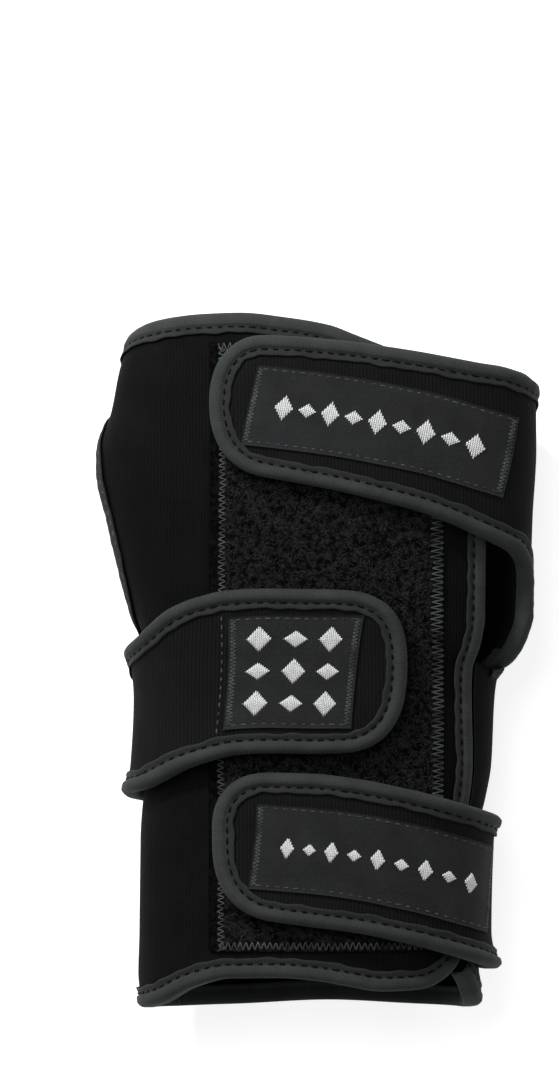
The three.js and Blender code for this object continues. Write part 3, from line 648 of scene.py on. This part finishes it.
panel_bindings = []
for name, path, turn, closed, thread, node in (
    ("back_tape", back_edge, -1, False, dark_thread, "back_panel_binding"),
    ("palm_knuckle_tape", palm_edges[0], 1, False, dark_thread, "palm_knuckle_binding"),
    ("palm_wrist_tape", palm_edges[1], -1, False, dark_thread, "palm_wrist_binding"),
    ("gusset_tape", gusset_edge, -1, False, dark_thread, "side_gusset_binding"),
    ("thumb_hole_tape", hole_edge, -1, True, grey_thread, "thumb_hole_binding"),
):
    binding = fold_tape(name, path, on_skin, PANEL, turn, closed=closed)
    place(binding, "edge_tape", node)
    groove = beside(path, GROOVE, turn, closed)
    lockstitches = running_stitches(groove, tape_groove(PANEL, on_skin), closed=closed)
    stitches = sew_threads(name + "_stitches", lockstitches, TAPE_STITCH, thread)
    place(stitches, "edge_tape")
    panel_bindings += [binding, stitches]


# Flat seams: the panels' cut edges are butted and joined on the outside with a close zigzag of black thread.
# A finer zigzag closes the gusset's finger end.
SEAM_WIDTH, SEAM_PITCH, SEAM_HEIGHT, SEAM_THREAD = 4.0, 1.7, 0.12, 0.22
SEAM_WRIST, THUMB_SEAM_FINGERS, LITTLE_SEAM_FINGERS = -79, 67, -7
HOLE_WRIST, HOLE_FINGERS = 1.5, 63
GUSSET_SEAM, GUSSET_SEAM_WIDTH, GUSSET_SEAM_PITCH = -3.4, 2.8, 0.8
black_thread = thread_finish("black_thread", "#0c0c0d", "#242526")


def over_panel(arc, y):
    return np.full_like(arc, PANEL + SEAM_HEIGHT)


def over_gusset_end(arc, y):
    return PANEL + 0.15 + 1.0 * ease(GUSSET_SEAM - 0.5, GUSSET_SEAM + 0.5, y)


def seam_path(edge, start, end):
    y = np.linspace(start, end, 300)
    return np.stack([edge(y), y], axis=1)


def outside_hole(lines):
    middle = lines[:, 2, 1]
    return lines[(middle < HOLE_WRIST) | (middle > HOLE_FINGERS)]


thumb_seam_path = seam_path(thumb_seam, SEAM_WRIST, THUMB_SEAM_FINGERS)
little_seam_path = seam_path(little_seam, SEAM_WRIST, LITTLE_SEAM_FINGERS)
gusset_seam_arcs = np.linspace(back_fold(-3.0) + 6, little_seam(-3.0) - 1, 60)
gusset_seam_path = np.stack([gusset_seam_arcs, np.full(60, GUSSET_SEAM)], axis=1)
seam_lines = np.concatenate([
    outside_hole(zigzag(thumb_seam_path, SEAM_WIDTH, SEAM_PITCH, over_panel)),
    zigzag(little_seam_path, SEAM_WIDTH, SEAM_PITCH, over_panel),
    zigzag(gusset_seam_path, GUSSET_SEAM_WIDTH, GUSSET_SEAM_PITCH, over_gusset_end),
])
flat_seams = sew_threads("flat_seams", seam_lines, SEAM_THREAD, black_thread)
place(flat_seams, "neoprene")


# Loop panel: a long patch of looped pile on the back of the hand, sewn down round its edge with grey zigzag
# stitches. The straps' hook tabs grip it.
LOOP = 1.2
LOOP_LOW = PANEL + GAP
LOOP_START = -0.247 * HAND_BREADTH
LOOP_WIDTH = 56.5
LOOP_WRIST = 14.7 - 87
LOOP_FINGERS = 7.4
# shares across the back panel at which the patch's two long edges lie
LOOP_BACK_SHARES = (0.594, 0.09)
SELVEDGE = 1.7
# the nap begins between these arcs, beside the plain selvedge
PLAIN, NAPPED = -23.3, -21.8
LOOP_FIBRES, FIBRE, FIBRE_RISE = 5200, 0.12, 0.45
LOOP_THREAD, LOOP_PITCH = 0.16, 1.4


def loop_finger_end(across):
    """Finger end of the patch, which follows the back panel's at a distance"""
    return read(BACK_ENDS, mix(*LOOP_BACK_SHARES, across)) * GLOVE_LENGTH - LOOP_FINGERS


def loop_pattern(across, along):
    across, along = np.broadcast_arrays(across, along)
    return mix(LOOP_START, LOOP_START + LOOP_WIDTH, across), mix(LOOP_WRIST, loop_finger_end(across), along)


def pile_finish():
    """Matted tufts of dark pile, with a plain selvedge on the thumb side"""
    finish, shader = new_finish("loop_pile", 0.95, 0.03)
    place_on = add_node(finish, "ShaderNodeTexCoord").outputs["Object"]
    cells = add_node(finish, "ShaderNodeTexVoronoi", Vector=place_on, Scale=1600.0, Randomness=1.0)
    matting = combine(finish, "MULTIPLY", combine(finish, "SUBTRACT", mottle(finish, 1.6), 0.36), 4.0)
    clumps = combine(finish, "MULTIPLY", matting, combine(finish, "ADD", mottle(finish, 0.6), 0.3))
    across = add_node(finish, "ShaderNodeSeparateXYZ", Vector=cutting_pattern(finish)).outputs["X"]
    nap = add_node(finish, "ShaderNodeMapRange", Value=across, From_Min=PLAIN, From_Max=NAPPED, To_Min=0.25)
    clumps = combine(finish, "MULTIPLY", clumps, nap.outputs["Result"])
    tufts = combine(finish, "SUBTRACT", 0.95, cells.outputs["Distance"])
    speckle = combine(finish, "MULTIPLY", tufts, clumps)
    dye(finish, shader, speckle, "#010101", "#2d2d2e")
    raise_surface(finish, shader, combine(finish, "ADD", speckle, mottle(finish, 1.5)), 0.35)
    return finish


loop_pile = pile_finish()
loop_fibre = thread_finish("loop_fibre", "#060606", "#2b2b2d")
loop_arc, loop_y = loop_pattern(*shares(80, 210))


def inside_loop_edge(arc, y, selvedge=0.0):
    """Distance of a place inside the patch's nearest edge, less its bare selvedge on the thumb side"""
    inside_sides = np.minimum(arc - LOOP_START - selvedge, LOOP_START + LOOP_WIDTH - arc)
    fingers = loop_finger_end(np.clip((arc - LOOP_START) / LOOP_WIDTH, 0, 1))
    return np.minimum(inside_sides, np.minimum(y - LOOP_WRIST, fingers - y))


def pile_height(arc, y):
    """The pile is pressed flat along its edge by the zigzag"""
    return mix(0.5, LOOP - 0.1, ease(2.2, 3.4, inside_loop_edge(arc, y, SELVEDGE)))


pile_top = pile_height(loop_arc, loop_y) + seed.uniform(-0.12, 0.1, loop_arc.shape)
loop_panel = cloth_slab("pile_patch", loop_arc, loop_y, LOOP_LOW, pile_top, loop_pile)
place(loop_panel, "loop_pile", "loop_panel")

spots = seed.uniform(0, 1, (LOOP_FIBRES, 2))
spot_arc, spot_y = loop_pattern(0.02 + 0.96 * spots[:, 0], 0.01 + 0.98 * spots[:, 1])
raised = inside_loop_edge(spot_arc, spot_y, SELVEDGE) > 2.6
spot_arc, spot_y = spot_arc[raised, None], spot_y[raised, None]
lean = seed.uniform(0, 2 * np.pi, spot_arc.shape)
span = seed.uniform(0.35, 0.95, spot_arc.shape)
bend = np.linspace(-1, 1, 5)
fibre_height = LOOP_LOW + pile_height(spot_arc, spot_y) - 0.2
fibre_arch = FIBRE_RISE * (1 - bend**2) * seed.uniform(0.5, 1.0, spot_arc.shape)
fibre_lines = np.stack([
    spot_arc + span * np.cos(lean) * bend,
    spot_y + span * np.sin(lean) * bend,
    fibre_height + fibre_arch,
], axis=2)
pile_loops = sew_threads("pile_loops", fibre_lines, FIBRE, loop_fibre, sides=4)
place(pile_loops, "loop_pile")


def loop_edge_height(arc, y):
    """Height of the zigzag, which runs over the patch's edge down on to the panel"""
    return mix(PANEL + 0.2, LOOP_LOW + pile_height(arc, y) + 0.16, ease(-0.7, 0.0, inside_loop_edge(arc, y)))


# across and along the patch, inset of the seam, its width
loop_seams = []
for across, along, inset, width in (
    (0.0, fine[::3], 3.0, 1.8),
    (fine[9::4], 1.0, 1.3, 2.4),
    (1.0, fine[::-3], 1.3, 3.4),
    (fine[:9:-4], 0.0, 1.3, 2.2),
):
    patch_edge = even_path(np.stack(loop_pattern(across, along), axis=1), 0.5)
    loop_seams.append(zigzag(beside(patch_edge, -inset, -1), width, LOOP_PITCH, loop_edge_height))
loop_zigzag = sew_threads("loop_zigzag", np.concatenate(loop_seams), LOOP_THREAD, grey_thread)
place(loop_zigzag, "loop_pile")


# Straps: the same neoprene, 2.5 mm thick, bound all round but at the root, where each is sewn down. A woven
# label is sewn on top of each, and a hook tab under its end grips the loop panel.
STRAP = 2.5
LABEL = 0.5
HOOK = 0.9
HOOK_LOW = LOOP_LOW + LOOP + GAP
OVER_LOOP = HOOK_LOW + HOOK + GAP
OVER_PANEL = PANEL + TAPE_ROOM + GAP
OVER_TAPE = OVER_PANEL + TAPE_ROOM
LABEL_STITCH, LABEL_THREAD, MOTIF_THREAD, ROOT_THREAD = 2.1, 0.17, 0.24, 0.2
LABEL_INSET = 1.0
# the tab starts this far from the strap's end and from its sides
TAB_INSET, TAB_LENGTH = 8, 30
HOOK_STAND, HOOK_THREAD = 0.3, 0.1
HOOK_BEND, HOOK_DROP = np.array([0, 0.03, 0.16]), np.array([0.35, 0.12, 0.02])
# reach (0 on the crown of the back, 1 at the hand's side, 2 at the root), middle along the hand, width
KNUCKLE = (
    (2, 0.179, 1.93), (1.5, 0.182, 1.96), (1.0, 0.1853, 2.014), (0.943, 0.192, 2.046), (0.917, 0.1977, 2.029),
    (0.903, 0.2032, 1.991), (0.893, 0.2124, 1.91), (0.879, 0.2345, 1.699), (0.862, 0.2555, 1.504),
    (0.84, 0.2693, 1.4), (0.81, 0.278, 1.36), (0.77, 0.286, 1.32), (0.72, 0.293, 1.3), (0.65, 0.301, 1.26),
    (0.55, 0.313, 1.21), (0.42, 0.327, 1.16), (0.28, 0.338, 1.13), (0.14, 0.348, 1.1), (0.0, 0.3555, 1.07),
    (-0.14, 0.362, 1.04), (-0.27, 0.367, 1.0), (-0.385, 0.3705, 0.96),
)
MIDDLE = (
    (2, -0.11, 0.8), (1.6, -0.104, 0.82), (1.2, -0.095, 0.85), (1.0, -0.088, 0.88), (0.9, -0.083, 0.9),
    (0.81, -0.076, 0.93), (0.72, -0.062, 0.96), (0.6, -0.04, 0.99), (0.48, -0.026, 1.0), (0.36, -0.017, 1.0),
    (0.2, -0.0145, 1.0), (0.0, -0.0155, 1.0), (-0.15, -0.0155, 0.99), (-0.27, -0.016, 0.98),
    (-0.42, -0.016, 0.97),
)
WRIST = (
    (2, -0.337, 1.0), (1.5, -0.336, 1.01), (1.0, -0.335, 1.01), (0.9, -0.332, 1.02), (0.81, -0.327, 1.02),
    (0.72, -0.32, 1.02), (0.62, -0.311, 1.02), (0.5, -0.3, 1.02), (0.37, -0.29, 1.02), (0.22, -0.28, 1.02),
    (0.05, -0.2725, 1.02), (-0.12, -0.268, 1.0), (-0.29, -0.264, 0.97), (-0.45, -0.262, 0.94),
)


def woven_finish():
    """Twill of dark and mid grey yarns"""
    finish, shader = new_finish("woven_label", 0.62, 0.02)
    twill, yarns = stripes(finish, "DIAGONAL", 0.36, 0.8), stripes(finish, "Y", 0.3, 0.2)
    crossed = combine(finish, "ADD", combine(finish, "MULTIPLY", yarns, 0.5), 0.5)
    weave = combine(finish, "MULTIPLY", twill, crossed)
    worn = layered(finish, (weave, 0.3), (mottle(finish, 0.3), 0.32), (mottle(finish, 7), 0.32))
    dye(finish, shader, worn, "#010101", "#363738")
    raise_surface(finish, shader, weave, 0.12)
    return finish


def hook_finish():
    finish, shader = new_finish("hook_nylon", 0.4)
    grain = layered(finish, (mottle(finish, 0.8), 0.7), (stripes(finish, "X", 0.9), 0.3))
    dye(finish, shader, grain, "#040404", "#171718")
    raise_surface(finish, shader, grain, 0.06)
    return finish


strap_jersey = knitted("strap_jersey", "#030303", "#1b1b1c", 0.85)
woven_label = woven_finish()
hook_nylon = hook_finish()
label_thread = thread_finish("label_thread", "#161717", "#525656", wear=0.6)
white_thread = thread_finish("white_thread", "#8f9191", "#d9dad8")


def over_tape(start, end):
    """Height of a strap's underside: over the loop panel, then over the back panel's tape, which it reaches
    between two reaches, then on the panel at its root"""
    return lambda reach: mix(mix(OVER_LOOP, OVER_TAPE, ease(start, end, reach)), OVER_PANEL, ease(1, 2, reach))


def strap_reach(strap, arc, y):
    """How far round the hand a place on a strap lies"""
    length = np.abs(strap["side"](1, y))
    distance = np.abs(arc) * np.where(arc * strap["side"](1, y) < 0, -1, 1)
    return np.where(distance <= length, distance / length, 1 + (distance - length) / strap["drop"])


def strap_arc(strap, reach, y):
    """Arc of a place on a strap, from its reach"""
    side = strap["side"](1, y)
    return np.minimum(reach, 1) * side + np.sign(side) * strap["drop"] * np.maximum(reach - 1, 0)


def strap_pattern(strap, nominal, share):
    """Arc and place of a strap's cloth, from its reach and a share across it, with its end rounded"""
    stations, turn = strap["stations"], (np.asarray(share) - 0.5) * np.pi
    tip = stations[-1]
    length = np.abs(strap["side"](1, tip[1] * GLOVE_LENGTH))
    shortening = strap["end"] * (1 - bow(np.cos(turn), 2.4)) / length
    reach = nominal + shortening * (1 - ease(tip[0], 1, nominal))
    half = read(stations, reach, 2) * strap["width"] / 2 - TAPE_ROOM
    y = read(stations, reach) * GLOVE_LENGTH + half * bow(np.sin(turn), 2.4)
    return strap_arc(strap, reach, y), y


def on_strap(strap, reach, offset, lean=0.0):
    """Place on a strap at a reach and an offset towards the fingers, leaning towards the little finger"""
    y = read(strap["stations"], reach) * GLOVE_LENGTH + offset
    side = strap["side"](1, strap["stations"][-1][1] * GLOVE_LENGTH)
    return strap_arc(strap, reach + lean * offset / side, y), y


def line_on_strap(strap, reach, offset):
    """Path on a strap that leans as its label does"""
    return np.stack(on_strap(strap, reach, offset, strap["lean"]), axis=1)


def strap_top(strap, above=0.0):
    """Height of what lies on a strap"""
    return lambda arc, y: strap["base"](strap_reach(strap, arc, y)) + STRAP + above


def label_top(strap):
    return strap_top(strap, GAP + LABEL)


def diamond(strap, middle, across, tall, wide):
    """Satin-stitched diamond on a label: strands of thread side by side, longest in the middle"""
    length = np.abs(strap["side"](1, 0.0))
    strands = np.arange(-wide / 2 + 0.3, wide / 2, 0.42)
    lines = []
    for strand in strands:
        half = (1 - abs(strand) / (wide / 2)) * tall / 2
        offset = across + np.array([-1, -0.75, 0, 0.75, 1]) * half
        arc, y = on_strap(strap, middle + strand / length, offset, strap["lean"])
        height = label_top(strap)(arc, y) + np.array([-0.1, 0.1, 0.16, 0.1, -0.1])
        lines.append(np.stack([arc, y, height], axis=1))
    return lines


# side the root is on, strap's width, rounding of its end, length round the side to the root, its underside,
# cloth beside the label, reaches of the label's ends, its lean, hand on which the cloth lies along the tape,
# reaches of the seams across it, and the motif: diamonds in a row, middles of the rows, two heights, breadth
for strap in (
    {"name": "knuckle", "stations": KNUCKLE, "side": little_side, "width": 34.5, "end": 12, "drop": 7.95,
     "base": lambda reach: OVER_LOOP * (1 - ease(0.72, 1.08, reach)),
     "margin": 7.25, "label": (-0.25, 0.74), "lean": 0.2, "turn": 1, "joins": (),
     "motif": (9, (0.0,), (6.4, 3.6), 3.9)},
    {"name": "middle", "stations": MIDDLE, "side": thumb_side, "width": 41, "end": 15, "drop": 9,
     "base": over_tape(0.5, 0.8),
     "margin": 6.4, "label": (-0.2, 0.39), "lean": 0.08, "turn": -1, "joins": (0.42,),
     "motif": (3, (-8.0, 0.0, 8.0), (6.6, 4.4), 5.4)},
    {"name": "wrist", "stations": WRIST, "side": little_side, "width": 37.5, "end": 13, "drop": 7,
     "base": over_tape(0.66, 0.95),
     "margin": 8.1, "label": (-0.28, 0.86), "lean": 0.12, "turn": 1, "joins": (),
     "motif": (9, (0.0,), (5.6, 3.2), 3.5)},
):
    name, stations = strap["name"], strap["stations"]
    tip = stations[-1][0]
    length = float(np.abs(strap["side"](1, stations[-1][1] * GLOVE_LENGTH)))
    lift = lambda arc, y, strap=strap: strap["base"](strap_reach(strap, arc, y))
    reaches = np.concatenate([np.linspace(2, 1, 10)[:-1], np.linspace(1, tip, 90)])
    share, nominal = np.meshgrid(np.linspace(0, 1, 44), reaches)
    arc, y = strap_pattern(strap, nominal, share)
    puff = 0.2 * (1 - (2 * share - 1) ** 4) - 0.06
    cloth = cloth_slab(name + "_strap_cloth", arc, y, lift(arc, y), STRAP + puff, strap_jersey)
    place(cloth, "strap_neoprene", name + "_strap")

    edge = edge_of(strap_pattern(strap, reaches, 1.0), strap_pattern(strap, tip, 1 - fine),
                   strap_pattern(strap, reaches[::-1], 0.0))
    binding = fold_tape(name + "_tape", edge, lift, STRAP, strap["turn"], bead=0.35)
    place(binding, "edge_tape", name + "_strap_binding")
    lockstitches = running_stitches(beside(edge, GROOVE, strap["turn"]), tape_groove(STRAP, lift))
    tape_stitches = sew_threads(name + "_tape_stitches", lockstitches, TAPE_STITCH, dark_thread)
    place(tape_stitches, "edge_tape")

    start, end = strap["label"]
    half = strap["width"] / 2 - strap["margin"]
    offset, reach = np.meshgrid(np.linspace(-half, half, 30), np.linspace(start, end, 90))
    label_arc, label_y = on_strap(strap, reach, offset, strap["lean"])
    label_low = lift(label_arc, label_y) + STRAP + GAP
    label = cloth_slab(name + "_woven_label", label_arc, label_y, label_low, LABEL, woven_label)
    place(label, "woven_label", name + "_strap_label")
    inset = (LABEL_INSET + 0.1) / length
    seam_ends, seam_half = (start + inset, end - inset), half - LABEL_INSET
    sewn = []
    for side in (-1, 1):
        long_seam = line_on_strap(strap, np.linspace(*seam_ends, 120), side * seam_half)
        sewn.append(running_stitches(long_seam, label_top(strap), dip=0.25, pitch=LABEL_STITCH))
    for at in seam_ends:
        end_seam = line_on_strap(strap, at, np.linspace(-seam_half, seam_half, 40))
        sewn.append(zigzag(end_seam, 1.6, 0.9, label_top(strap)))
    across = strap["width"] / 2 - TAPE_WIDTH - 0.5
    for at in strap["joins"]:
        join = line_on_strap(strap, at, np.linspace(-across, across, 60))
        sewn.append(running_stitches(join, strap_top(strap, 0.15), pitch=LABEL_STITCH))
    label_stitches = sew_threads(name + "_label_stitches", np.concatenate(sewn), LABEL_THREAD, label_thread)
    place(label_stitches, "woven_label")
    count, rows, heights, wide = strap["motif"]
    middles = mix(start, end, 0.09 + 0.82 * (np.arange(count) + 0.5) / count)
    diamonds = [diamond(strap, middle, row, heights[(i + j) % 2], wide)
                for j, row in enumerate(rows) for i, middle in enumerate(middles)]
    motif = sew_threads(name + "_label_diamonds", np.concatenate(diamonds), MOTIF_THREAD, white_thread)
    place(motif, "woven_label")

    tab_start, tab_end = tip + TAB_INSET / length, tip + (TAB_INSET + TAB_LENGTH) / length
    tab_half = stations[-1][2] * strap["width"] / 2 - TAB_INSET
    tab_offset, tab_reach = np.meshgrid(
        np.linspace(-tab_half, tab_half, 24), np.linspace(tab_start, tab_end, 32))
    tab_arc, tab_y = on_strap(strap, tab_reach, tab_offset)
    tab = cloth_slab(name + "_hook_tape", tab_arc, tab_y, HOOK_LOW + HOOK_STAND, HOOK - HOOK_STAND, hook_nylon)
    place(tab, "hook_tape", name + "_strap_hook_tab")
    hook_arc, hook_y = tab_arc[1:-1, 1:-1].reshape(-1, 1), tab_y[1:-1, 1:-1].reshape(-1, 1)
    hook_lines = np.stack(np.broadcast_arrays(hook_arc + HOOK_BEND, hook_y, HOOK_LOW + HOOK_DROP), axis=2)
    hooks = sew_threads(name + "_hooks", hook_lines, HOOK_THREAD, hook_nylon, sides=4)
    place(hooks, "hook_tape")
    root_seams = []
    for from_root in (1.2, 4.2):
        row = strap_pattern(strap, 2 - from_root / strap["drop"], np.linspace(0.1, 0.9, 40))
        root_seams.append(running_stitches(np.stack(row, axis=1), strap_top(strap, 0.2)))
    root = sew_threads(name + "_root_stitches", np.concatenate(root_seams), ROOT_THREAD, grey_thread)
    place(root, "strap_neoprene")


# Setting: a plain white table, soft light from above and both sides, and the camera straight above
def lamp(name, place_at, size, power):
    light = bpy.data.objects.new(name, bpy.data.lights.new(name, "AREA"))
    light.data.shape, light.data.size, light.data.energy = "DISK", size, power
    light.location = place_at
    light.rotation_euler = (Vector((0, 0.02, 0.02)) - Vector(place_at)).to_track_quat("-Z", "Y").to_euler()
    bpy.context.collection.objects.link(light)


def table_finish():
    finish, shader = new_finish("white_table", 0.9)
    dye(finish, shader, mottle(finish, 60), "#c6c6c6", "#cecece")
    shader.inputs["Emission Color"].default_value = (1, 1, 1, 1)
    shader.inputs["Emission Strength"].default_value = 0.78
    return finish


bpy.ops.object.select_all(action="DESELECT")
bpy.ops.mesh.primitive_plane_add(size=4, location=(0, 0, -0.0005))
table = bpy.context.active_object
table.name = "table"
table.data.materials.append(table_finish())
lamp("top_lamp", (-0.3, 0.4, 1.1), 0.7, 7)
lamp("left_lamp", (-0.36, 0.6, 0.5), 0.16, 7)
lamp("right_lamp", (0.9, 0.1, 0.7), 0.8, 0.8)
bpy.context.scene.view_settings.view_transform = "Standard"
world = bpy.data.worlds.new("studio")
bpy.context.scene.world = world
world.use_nodes = True
world.node_tree.nodes["Background"].inputs["Color"].default_value = (1, 1, 1, 1)
world.node_tree.nodes["Background"].inputs["Strength"].default_value = 0.3
camera = bpy.data.objects.new("camera", bpy.data.cameras.new("camera"))
camera.data.sensor_width = 36
camera.data.lens = 526
camera.location = (-0.0095, 0.0293, 4.0)
camera.data.clip_end = 20
bpy.context.collection.objects.link(camera)
bpy.context.scene.camera = camera
